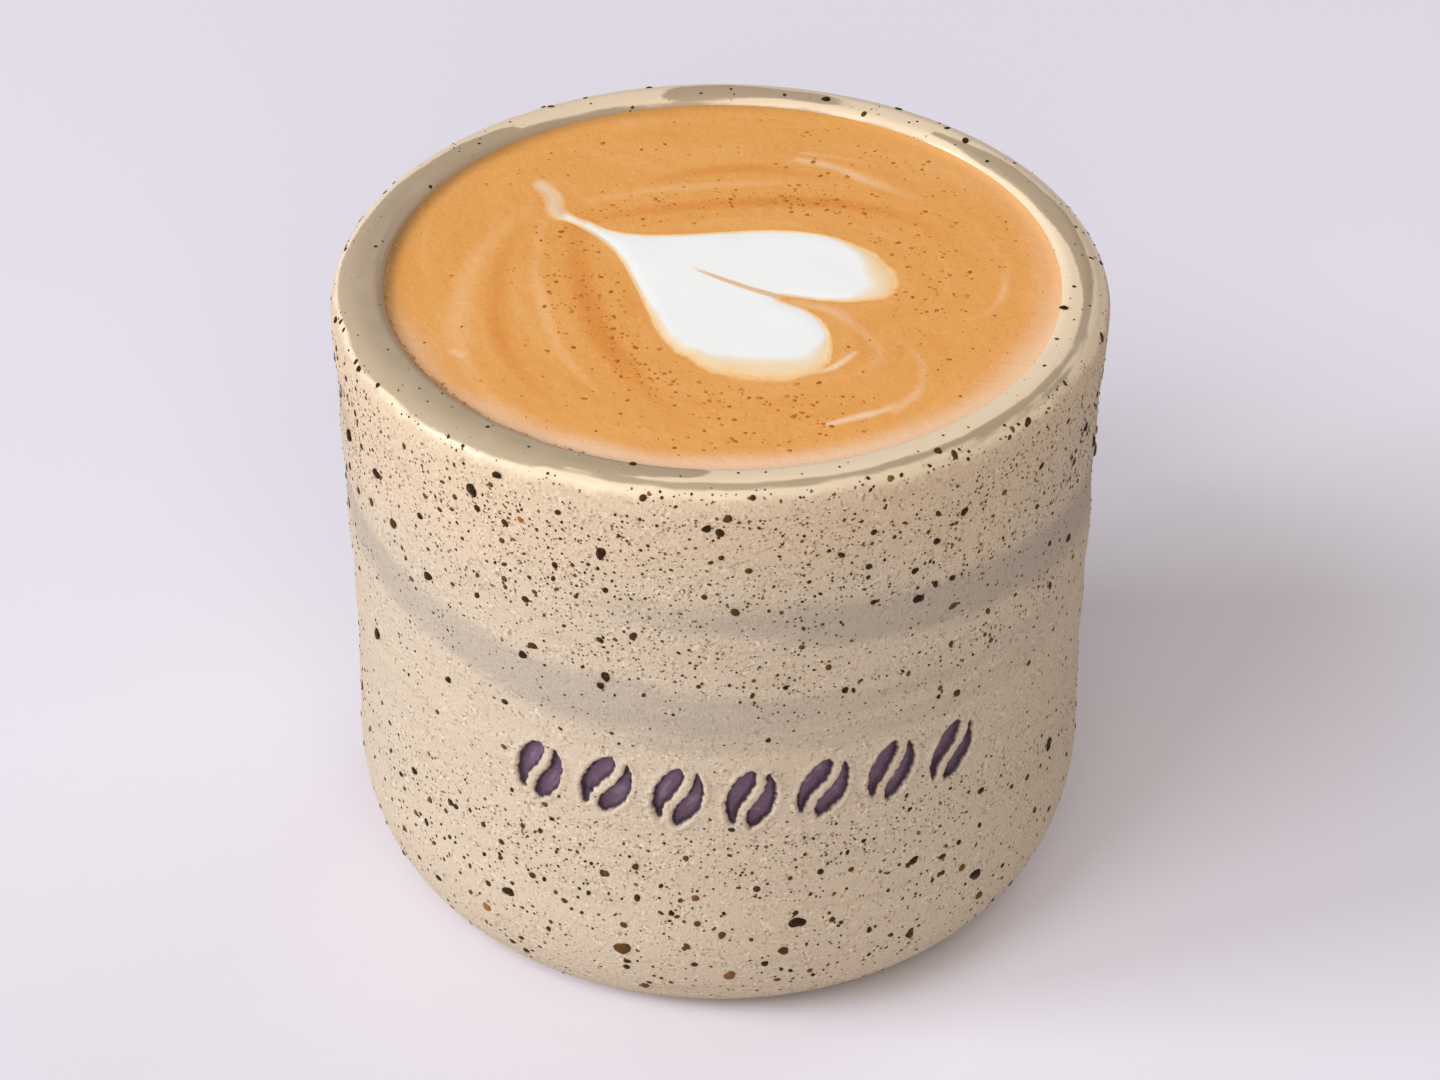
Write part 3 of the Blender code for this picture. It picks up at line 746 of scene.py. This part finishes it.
def makeBeads(material):
    # each bead is a low uneven dome sunk into the clay
    look = speckLook
    segments, rings = look["segments"], look["rings"]
    spins = 2 * math.pi * np.arange(segments) / segments
    rng = np.random.default_rng(look["seed"])
    places = [(turn, *wallPlace(height), size, *tint) for turn, height, size, *tint in look["wall"]]
    places += [(turn, *lipPlace(radius), size, *tint) for turn, radius, size, *tint in look["lip"]]
    points, faces, tints = [], [], []
    for turn, (radius, height), (out, up), size, *tint in places:
        angle = math.radians(turn)
        middle = np.array((radius * math.sin(angle) + float(wallLean(height)),
                           -radius * math.cos(angle), height))
        normal = np.array((out * math.sin(angle), -out * math.cos(angle), up))
        side = np.array((math.cos(angle), math.sin(angle), 0))
        along = np.cross(normal, side)
        flat = size * rng.uniform(*look["flatness"])
        starts = rng.uniform(0, 2 * math.pi, 4)
        stretch = rng.uniform(*look["stretch"])
        two, three, five = look["lumps"]
        lump = 1 + two * np.sin(2 * spins + starts[0]) + three * np.sin(3 * spins + starts[1])
        first = len(points)
        points.append(middle + normal * flat)
        for ring in range(1, rings):
            polar = math.pi * ring / rings
            wide = size * math.sin(polar) * (lump + five * np.sin(5 * spins + starts[3] + ring))
            tall = flat * math.cos(polar) * (1 + 0.2 * np.sin(2 * spins + starts[2]))
            points.extend(middle + np.outer(wide * stretch * np.cos(spins), side)
                          + np.outer(wide / stretch * np.sin(spins), along) + np.outer(tall, normal))
        points.append(middle - normal * flat)
        last = len(points) - 1
        for k in range(segments):
            after = (k + 1) % segments
            faces.append((first, first + 1 + k, first + 1 + after))
            for a in range(first + 1, last - segments, segments):
                faces.append((a + k, a + segments + k, a + segments + after, a + after))
            faces.append((last, last - segments + after, last - segments + k))
        tints += (tint or [0]) * (len(points) - first)
    return newPiece("ironBeads", points, faces, {"tint": np.array(tints)}, material)


print("cup")
cup = makeCup()
cup.data.materials.append(makeStoneware())
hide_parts("cup")
speckMaterial = makeSpeckMaterial()
for piece in (cup, makeBeads(speckMaterial),
              scatterOn(cup, "fineSpecks", "crowd", speckMaterial, speckLook["fine"]),
              scatterOn(cup, "middlingSpecks", "clumps", speckMaterial, speckLook["middling"])):
    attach(piece, "root")

# Drink: the crema with its streaks, wisps of milk, foam at the front wall and froth at the left, and a
# painted shade line along the wall at the back
drinkSize = {
    "level": 75.4,
    "edgeRadius": 37.55,
    "meniscusRise": 0.3,
    "meniscusWidth": 1.5,
    "cells": 244,
    "milkEdge": 0.5,                  # softness of the milk's edge where it is crisp
    "tailTip": (-20.4, 19.6),
    "foamReach": 3.6,                 # how far in from the wall foam, froth and the painted shade line reach
    "frothReach": (0.35, 0.95),
    "paintedRimShadeReach": 1.6,
    "heartDip": 0.14,                 # how far the crema gives way under the milk
    "skirtHeights": (74.2, 60.0),
    "overlap": 0.05,                  # how far the skirt stands inside the cup's wall and floor
}
heartOutline = (
    (-20.6, 20.6), (-19.2, 19.2), (-18, 17), (-17.9, 14.8), (-16.6, 13.1), (-14.6, 11.6),
    (-12.2, 9.9), (-8.4, 9.1), (-3.6, 9.3), (1.4, 9.9), (6.4, 10.2), (11.6, 9.2),
    (15.8, 6.6), (18.4, 3), (19.3, -0.8), (18, -3.4), (14.6, -4.4), (11, -4.2),
    (8.4, -3.6), (6.6, -3.3), (6.3, -4.1), (7.6, -5), (10, -6.8), (11.6, -9.8),
    (12, -13.6), (11, -17.2), (8, -19.4), (3.6, -19.7), (-0.6, -18.3), (-4, -15.2),
    (-6.6, -11.2), (-8.2, -5.6), (-9.6, -0.8), (-11.2, 4.2), (-13.6, 8.2), (-16.4, 11.3),
    (-18.9, 12.7), (-19.6, 14.6), (-19.9, 17), (-21.3, 19.2),
)
slitLine = ((6.6, -3.6), (3.6, -2.2), (0.4, -0.2), (-2.4, 1.7), (-5.0, 3.6))
# where cream fades to white inside the lobes' ends: (x, y, half width, half height, softness)
creamFades = ((4, -19.5, 8, 5.4, 5.8), (19, 1, 4.4, 5.5, 4.0), (-6, -11, 3, 6, 0.7))
# wisps of milk: points, half width, strength at the start, middle and end
wisps = (
    (((9.3, 26.9), (13.7, 25.9), (18.6, 23.5), (23.4, 19.6), (24.4, 16.6)), 0.6, (0.5, 0.3, 0.1)),
    (((8.8, 25.4), (12.7, 24), (16.6, 20.8), (19.5, 18.8), (22.5, 17.1)), 0.95, (0.5, 0.5, 0.2)),
    (((29.8, 13.7), (31.8, 4.9), (30.8, -2.9), (28.3, -7.3), (24.4, -8.3)), 0.75, (0.06, 0.4, 0.25)),
    (((8, -4.6), (12.2, -6.3), (15.6, -10.7), (17.1, -14.7), (14.6, -18.6), (10.7, -20)), 1,
     (0.45, 0.42, 0.2)),
    (((14.6, -9.3), (18.6, -11.7), (21.5, -15.6), (21.3, -21.5), (18.6, -25.9)), 0.75,
     (0.1, 0.42, 0.4)),
    (((20, -24), (17.1, -25.8), (14.4, -27), (11.7, -28.3)), 0.65, (0.2, 0.8, 0.7)),
    (((9.6, -18.6), (12.2, -17.4), (14.6, -14.5)), 0.5, (0.4, 0.9, 0.6)),
    (((-28.8, -14.8), (-28, -15.4)), 0.95, (0.5, 0.5, 0.5)),
)
# paler peach bands in the crema: points, half width, strength
peachBands = (
    (((-22.5, 14.7), (-26.9, 4.9), (-28.3, -2.9), (-28.6, -10.7), (-26.9, -18.6), (-22.4, -26.4)), 1.7,
     (0.5, 0.95, 0.3)),
    (((-20, 11.7), (-20.6, 2.9), (-19.6, -4.9), (-17.6, -13.7), (-13.7, -21.5), (-8.8, -27.4)), 0.9,
     (0.5, 0.85, 0.35)),
    (((-14.7, 16.6), (-4.9, 19.1), (4.9, 20.3), (12, 19.6)), 1, (0.6, 0.7, 0.3)),
    (((-2, 12.3), (10.7, 12.5), (18.6, 8.8), (21.6, 2.9), (20.5, -4.9)), 1, (0.2, 0.5, 0.4)),
    (((-11.7, 26.4), (0, 28.4), (12, 30)), 2.4, 0.35),
    (((-16, 31), (2.9, 35), (16, 31)), 1.5, 0.45),
    (((2, -21.6), (10, -22), (16, -18.6)), 0.8, 0.4),
)
# browner drifts of crema: points, half width, strength
drifts = (
    (((-16.4, 11.7), (-15.7, 1), (-14.2, -6.8), (-11.7, -14.7), (-7.8, -22.5), (-2.9, -29.3)), 2.1,
     (0.7, 1, 0.4)),
    (((-22.4, 10.7), (-24.4, 2.9), (-24.6, -6.8), (-23, -14.7), (-19.5, -22.5), (-14.7, -28.3)), 1.5,
     (0.5, 0.8, 0.3)),
    (((-15.7, 12.4), (-6.9, 14.4), (2.9, 16.2), (10.7, 16.4), (18.6, 14.2), (24.4, 9.8), (27.4, 2.9)), 1.7,
     (0.6, 1, 0.4)),
    (((-7.9, 20.5), (-1, 23), (6.8, 23), (16.6, 20)), 1.6, (0.4, 0.8, 0.2)),
    (((-25.6, 15.5), (-29.3, 8.8), (-31.5, 2)), 1.5, 0.6),
    (((19, -8), (23.5, -12.7), (25, -19)), 2.2, 0.6),
    (((-2, -26.4), (6.8, -24.4), (15.6, -22.5)), 2, 0.5),
)
# where pin-prick bubbles gather: points, half width, strength
bubbleBands = (
    (((-17.5, 12), (-16, 2), (-14, -8), (-9, -17), (0, -24.5), (10, -25.5)), 3.6, (1, 1.35, 0.85)),
    (((-12, 14.4), (0, 16.6), (12, 15.5), (20, 10), (24, 1)), 3.2, (0.65, 1, 0.75)),
    (((20, 10), (24, 2), (22, -8)), 3.4, (0.5, 0.8, 0.4)),
    (((-8, -28.5), (4, -31), (14, -29)), 2.4, 0.6),
    (((10, 31), (22, 24), (29, 12)), 2.6, 0.4),
)
# what lies along the drink's wall: (turn, foam, froth, painted shade line), each a share
wallShares = (
    (-180, 0, 0, 0.48), (-156, 0, 0, 0.45), (-120, 0, 0, 0.55), (-98, 0, 0.5, 0.75),
    (-85, 0.28, 1, 0.65), (-68, 0.58, 1, 0.3), (-50, 0.6, 0.9, 0.1), (-30, 0.92, 0.6, 0),
    (-20, 1, 0, 0), (15, 1, 0, 0), (50, 0.8, 0, 0), (75, 0.65, 0, 0),
    (97, 0.45, 0, 0), (130, 0.3, 0, 0), (160, 0.1, 0, 0.35), (180, 0, 0, 0.48),
)


def discGrid(cells):
    # an even square grid bent to a unit disc
    line = np.linspace(-1, 1, cells + 1)
    a, b = np.meshgrid(line, line, indexing="ij")
    wide = np.abs(a) > np.abs(b)
    with np.errstate(divide="ignore", invalid="ignore"):
        angle = np.where(wide, (math.pi / 4) * (b / a), math.pi / 2 - (math.pi / 4) * (a / b))
    radius = np.where(wide, a, b)
    angle = np.nan_to_num(angle)
    return (radius * np.cos(angle)).ravel(), (radius * np.sin(angle)).ravel()


def nearLines(x, y, table):
    # how strongly the soft lines of a table cover each place
    total = np.zeros(x.shape)
    for points, halfWidth, strength in table:
        reach, along = lineDistance(x, y, curveThrough(points, 6))
        levels = strength if isinstance(strength, tuple) else (0.3 * strength, strength, 0.3 * strength)
        level = np.interp(along, (0, 0.5, 1), levels)
        total = np.maximum(total, level * np.exp(-((reach / halfWidth) ** 2)))
    return total


def drinkLayers(x, y):
    # what lies where on the drink, as layers that the crema and the foam both read
    size = drinkSize
    places = np.column_stack([x, y])
    heart = insideDistance(x, y, curveThrough(heartOutline, 4, closed=True))
    radius = np.hypot(x - cupSize["cavityOffset"][0], y - cupSize["cavityOffset"][1])
    wall = size["edgeRadius"] - radius
    turn = np.degrees(np.arctan2(x, -y))

    # the milk's edge is crisp, but cream fades to white inside the lobes' ends
    crisp = size["milkEdge"]
    soft = np.full(x.shape, crisp)
    for middleX, middleY, wide, tall, softness in creamFades:
        soft += softness * np.exp(-(((x - middleX) / wide) ** 2) - ((y - middleY) / tall) ** 2)
    soft = np.where(heart < 0, crisp + 0.3 * (soft - crisp), soft)
    ragged = 0.16 * ripple(places, 4.0, 31) + 0.07 * ripple(places, 1.5, 32)
    slitReach, along = lineDistance(x, y, curveThrough(slitLine, 6))
    opened = 1 - smoothStep(0.15, 0.25 + 0.55 * (1 - along), slitReach)
    tipX, tipY = size["tailTip"]
    tip = np.hypot(x - tipX, y - tipY) + 0.5 * ripple(places, 3.0, 33)
    milk = (heart + ragged * smoothStep(0.4, 1.2, soft)) / soft - 0.35 * (1 - smoothStep(2.0, 8.0, tip))
    swayed = wall + 0.3 * ripple(places, 14.0, 34)
    frothWall = wall + 0.25 * ripple(places, 5.0, 35)
    foam, froth, dark = (alongTurn(wallShares, column, turn)[0] for column in (1, 2, 3))

    # streaks follow the milk near it and the wall near the wall
    outside = np.maximum(-heart, 0)
    across = outside / (outside + np.maximum(wall, 0.01) + 2.0)
    return {
        "milk": milk,
        "heart": heart,
        "wall": wall,
        "slit": opened * (1 - smoothStep(0.55, 1.0, along)),
        "thin": (1 - smoothStep(4.0, 12.5, tip)) * smoothStep(-0.6, 0.1, heart),
        "pale": nearLines(x, y, wisps),
        "peach": nearLines(x, y, peachBands),
        "brown": nearLines(x, y, drifts),
        "foam": foam * np.exp(-((np.maximum(swayed, 0) / size["foamReach"]) ** 2.5)),
        "froth": froth * (1 - smoothStep(*size["frothReach"], frothWall)),
        # painted shade where the crema meets the cup's wall, at the back and the back-left
        "paintedRimShade": dark * np.exp(-((np.maximum(wall, 0) / size["paintedRimShadeReach"]) ** 2)),
        "stream": np.column_stack([x * 0.05, y * 0.05, across * 7.0]),
    }


def bubbleCrowd(x, y, layers):
    crowd = 0.10 + nearLines(x, y, bubbleBands)
    crowd *= smoothStep(0.5, 1.6, -layers["heart"]) * smoothStep(1.5, 4.0, layers["wall"])
    crowd *= (1 - 0.6 * layers["peach"]) * (1 - 0.6 * smoothStep(-22, -27, x))
    return np.clip(crowd, 0, 2)


def drinkHeight(x, y, layers):
    size = drinkSize
    places = np.column_stack([x, y])
    rise = size["meniscusRise"] * np.clip(1 - layers["wall"] / size["meniscusWidth"], 0, 1) ** 2
    swell = 0.02 * ripple(places, 11.0, 52) + 0.010 * ripple(places, 3.0, 53)
    under = -size["heartDip"] * smoothStep(0.3, 1.3, layers["heart"])
    return size["level"] + rise + swell * smoothStep(0.5, 2.0, layers["wall"]) + under


def makeDrink():
    size = drinkSize
    centreX, centreY = cupSize["cavityOffset"]
    unitX, unitY = discGrid(size["cells"])
    x, y = centreX + unitX * size["edgeRadius"], centreY + unitY * size["edgeRadius"]
    layers = drinkLayers(x, y)
    top = np.column_stack([x, y, drinkHeight(x, y, layers)])
    layers["bubbles"] = bubbleCrowd(x, y, layers)
    grid, faces = squareGrid(size["cells"] + 1)
    rim = np.concatenate([grid[:-1, 0], grid[-1, :-1], grid[:0:-1, -1], grid[0, :0:-1]])

    # the skirt follows the cup's inside, a hair inside its wall, down to the floor
    inner, bend, overlap = cupSize["cavityRadius"], cupSize["cavityCorner"], size["overlap"]
    corner = arcPoints((inner - bend, cupSize["floorHeight"] + bend), (bend + overlap,) * 2, 0, -90, 6)
    sunk = cupSize["floorHeight"] - overlap
    skirt = [*((inner + overlap, height) for height in size["skirtHeights"]), *corner, (8.0, sunk)]
    points = [top]
    rings = [rim]
    for radius, height in skirt:
        scale = radius / size["edgeRadius"]
        ring = np.column_stack([centreX + (top[rim, 0] - centreX) * scale,
                                centreY + (top[rim, 1] - centreY) * scale, np.full(len(rim), height)])
        rings.append(sum(len(p) for p in points) + np.arange(len(rim)))
        points.append(ring)
    middle = sum(len(p) for p in points)
    points.append(np.array([(centreX, centreY, sunk)]))
    sides = [np.stack([a, b, np.roll(b, -1), np.roll(a, -1)], axis=-1) for a, b in zip(rings, rings[1:])]
    closing = [(rings[-1][k], middle, np.roll(rings[-1], -1)[k]) for k in range(len(rim))]
    points = np.vstack(points)
    extra = len(points) - len(top)
    padded = {}
    for name, values in layers.items():
        tail = np.repeat(values[rim[:1]], extra, axis=0)
        padded[name] = np.concatenate([values, tail * (0 if name in ("bubbles", "froth") else 1)])
    return newPiece("cremaDrink", points, [*faces, *np.vstack(sides), *closing], padded)


# Crema: coffee oils and fine foam, poured and left to settle, so orange-brown with a satin skin.
# Milk foam: steamed microfoam, poured, so flat white and smooth with creamy see-through edges.
drinkLook = {
    "crema": "#eda958",
    "noises": {
        "clouds": (13.0, (1, 1, 1), 3.0),
        "grain": (0.6, (1, 1, 1), 3.0),
        "mottle": (1.6, (1, 1, 1), 3.0),
    },
    "coats": (                # layer, noise, sway, start, full, strength, colour
        ("streaks", "clouds", 0.3, -0.1, 0.9, 0.50, "#f2b76f"),
        ("streaks", "clouds", -0.3, -0.2, -1.0, 0.45, "#e59d4a"),
        ("clouds", "clouds", 0.0, 0.0, 0.9, 0.30, "#e89f4e"),
        ("peach", "streaks", 0.15, 0.15, 0.95, 0.85, "#f6bd7a"),
        ("brown", "streaks", 0.22, 0.22, 0.95, 0.85, "#e2933f"),
        ("brown", "mottle", 0.25, 0.70, 1.35, 0.40, "#d68135"),
        ("grain", "mottle", 0.4, 0.1, 1.1, 0.34, "#e19341"),
        ("grain", "mottle", -0.4, -0.1, -1.1, 0.30, "#f5bf7d"),
        ("foam", "mottle", 0.05, 0.05, 1.0, 0.90, "#f7d1a8"),
        # painted shade along the wall at the back
        ("paintedRimShade", "mottle", 0.04, 0.06, 0.95, 0.90, "#70613a"),
        ("froth", "mottle", 0.20, 0.22, 0.9, 0.6, "#b88a55"),
        ("pale", "streaks", 0.10, 0.11, 0.95, 0.85, "#fae0b6"),
        ("milk", "mottle", 0.10, -0.40, 0.06, 0.90, "#ffd590"),
        ("milk", "mottle", 0.10, -0.05, 0.42, 1.0, "#fbe2b6"),
        ("milk", "mottle", 0.08, 0.35, 1.30, 1.0, "#fbfdf3"),
        ("slit", "mottle", 0.10, 0.15, 0.8, 0.85, "#eabb80"),
        ("thin", "mottle", 0.25, 0.28, 0.85, 0.80, "#f0c48c"),
    ),
    "cremaRoughness": 0.42,
    "cremaBump": 0.6,
    "milkRoughness": 0.45,
    "milkBump": 0.12,
    "shine": 0.25,
    "ior": 1.36,
}


def makeDrinkMaterial(name, roughness, bumpStrength):
    look = drinkLook
    material, tree, shader = newMaterial(name)
    names = ("milk", "slit", "thin", "pale", "peach", "brown", "foam", "froth", "paintedRimShade")
    _, fields = readFields(tree, names, look["noises"])
    stream = addNode(tree, "ShaderNodeAttribute", attribute_name="stream").outputs["Vector"]
    flow = addNode(tree, "ShaderNodeTexNoise", {
        "Vector": stream, "Scale": 1.3, "Detail": 3.0, "Distortion": 0.25})
    fields["streaks"] = addNode(tree, "ShaderNodeMapRange", {
        "Value": flow, "From Min": 0.25, "From Max": 0.75, "To Min": -1.0}, clamp=False)
    colour = paintCoats(tree, linear(look["crema"]), look["coats"], fields)
    bump = addNode(tree, "ShaderNodeBump", {
        "Height": fields["grain"], "Strength": bumpStrength, "Distance": 0.03 * mm})
    feed(tree, shader, {"Base Color": colour, "Normal": bump, "Roughness": roughness, "IOR": look["ior"],
                        "Specular IOR Level": look["shine"]})
    return material


print("drink")
drink = makeDrink()
drink.data.materials.append(
    makeDrinkMaterial("coffeeCrema", drinkLook["cremaRoughness"], drinkLook["cremaBump"]))
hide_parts("drink")

# Bubbles: pin-pricks where foam burst and the darker coffee shows, and tan froth along the left wall.
bubbleLook = {
    "burst": ("#dc8c3b", "#b26420"),
    "froth": ("#c99f68", "#a9763c"),
    "roughness": 0.35,
    "shine": 0.15,
    # rows of scatterInputs
    "bubbles": (820000.0, 0.09 * mm, 0.33 * mm, 2.2, 0.14, 10, 4, 9),
    "wallFroth": (5200000.0, 0.08 * mm, 0.26 * mm, 2.0, 0.45, 6, 4, 3),
}


def makeBubbleMaterial(name, shades):
    material, tree, shader = newMaterial(name)
    tint = addNode(tree, "ShaderNodeAttribute", attribute_name="tint").outputs["Fac"]
    colour = addNode(tree, "ShaderNodeMix", {0: tint, 6: linear(shades[0]), 7: linear(shades[1])},
                     data_type="RGBA")
    feed(tree, shader, {"Base Color": colour, "Roughness": bubbleLook["roughness"],
                        "Specular IOR Level": bubbleLook["shine"]})
    return material


burstMaterial = makeBubbleMaterial("burstBubble", bubbleLook["burst"])
frothMaterial = makeBubbleMaterial("wallFroth", bubbleLook["froth"])
for piece in (drink, scatterOn(drink, "cremaBubbles", "bubbles", burstMaterial, bubbleLook["bubbles"]),
              scatterOn(drink, "wallFroth", "froth", frothMaterial, bubbleLook["wallFroth"])):
    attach(piece, "root")

# Heart: poured milk foam, a thin crowned cap that sinks into the crema at its edge
heartSize = {
    "reach": 22.5,
    "spacing": 0.3,
    "apron": 0.8,             # how far the cap goes on under the crema
    "slope": 1.8,             # how far inside its edge the cap is level
    "crown": 0.07,
    "sink": 0.05,
    "swell": 0.015,
    "depth": 1.2,
}


def makeHeart():
    size = heartSize
    line = np.arange(-size["reach"], size["reach"], size["spacing"])
    gridX, gridY = np.meshgrid(line, line, indexing="ij")
    x, y = gridX.ravel(), gridY.ravel()
    layers = drinkLayers(x, y)
    kept = layers["heart"] > -size["apron"]
    count = len(line)
    _, quads = squareGrid(count)
    quads = quads[kept[quads].all(axis=1)]
    used = np.unique(quads)
    renumber = np.full(count * count, -1)
    renumber[used] = np.arange(len(used))
    quads = renumber[quads]
    x, y = x[used], y[used]
    layers = {name: values[used] for name, values in layers.items()}
    climb = smoothStep(-size["apron"], size["slope"], layers["heart"])
    rise = -size["sink"] + (size["crown"] + size["sink"]) * climb
    swell = size["swell"] * ripple(np.column_stack([x, y]), 9.0, 61)
    top = np.column_stack([x, y, drinkSize["level"] + rise + swell])
    floor = np.column_stack([x, y, np.full(len(x), drinkSize["level"] - size["depth"])])
    # close the sides along the edges that only one face has
    edges = {}
    for quad in quads:
        for a, b in zip(quad, np.roll(quad, -1)):
            edges[(a, b)] = True
    rimEdges = [(a, b) for a, b in edges if (b, a) not in edges]
    below = len(x)
    sides = [(b, a, a + below, b + below) for a, b in rimEdges]
    bottom = quads[:, ::-1] + below
    doubled = {name: np.concatenate([values, values]) for name, values in layers.items()}
    return newPiece("milkHeart", np.vstack([top, floor]), [*quads, *bottom, *sides], doubled)


print("heart")
heart = makeHeart()
heart.data.materials.append(
    makeDrinkMaterial("milkMicrofoam", drinkLook["milkRoughness"], drinkLook["milkBump"]))
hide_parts("milk_heart")
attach(heart, "root")

# Floor and light: a pale paper floor, a low soft light from the left, a higher one from the left in
# front, and wide ones from the front and, weaker, from behind on the right
studio = {
    "floorColour": "#edeaed",
    "floorRoughness": 0.85,
    "floorReach": 3.0,
    "worldColour": "#fffcfe",
    "worldStrength": 0.217,
    # name: (watts, size, place, colour)
    "lights": {
        "left": (40.6, 0.9, (-2.18, -0.46, 0.9), "#ecf0ff"),
        "leftFront": (19.7, 0.9, (-1.07, -1.19, 1.78), "#eeefff"),
        "front": (20.6, 1.5, (0.0, -1.92, 1.44), "#fff5f0"),
        "backRight": (11.2, 1.5, (1.39, 1.39, 1.38), "#fdf4ff"),
    },
    "aim": (0, 0, 0.04),
}


def makeStudio(settings):
    floorMesh = bpy.data.meshes.new("floor")
    reach = settings["floorReach"]
    corners = [(-reach, -reach, 0), (reach, -reach, 0), (reach, reach, 0), (-reach, reach, 0)]
    floorMesh.from_pydata(corners, [], [(0, 1, 2, 3)])
    floor = newObject("floor", floorMesh)
    material, tree, shader = newMaterial("paperFloor")
    feed(tree, shader, {"Base Color": linear(settings["floorColour"]),
                        "Roughness": settings["floorRoughness"]})
    floorMesh.materials.append(material)
    world = bpy.data.worlds.new("studio")
    world.use_nodes = True
    background = world.node_tree.nodes["Background"]
    background.inputs["Color"].default_value = linear(settings["worldColour"])
    background.inputs["Strength"].default_value = settings["worldStrength"]
    bpy.context.scene.world = world
    for name, (energy, size, place, shade) in settings["lights"].items():
        data = bpy.data.lights.new(name, "AREA")
        data.energy = energy
        data.size = size
        data.color = linear(shade)[:3]
        light = newObject(name, data)
        light.location = place
        aim = Vector(settings["aim"]) - Vector(place)
        light.rotation_euler = aim.to_track_quat("-Z", "Y").to_euler()
    bpy.context.scene.view_settings.view_transform = "Standard"


print("studio")
makeStudio(studio)
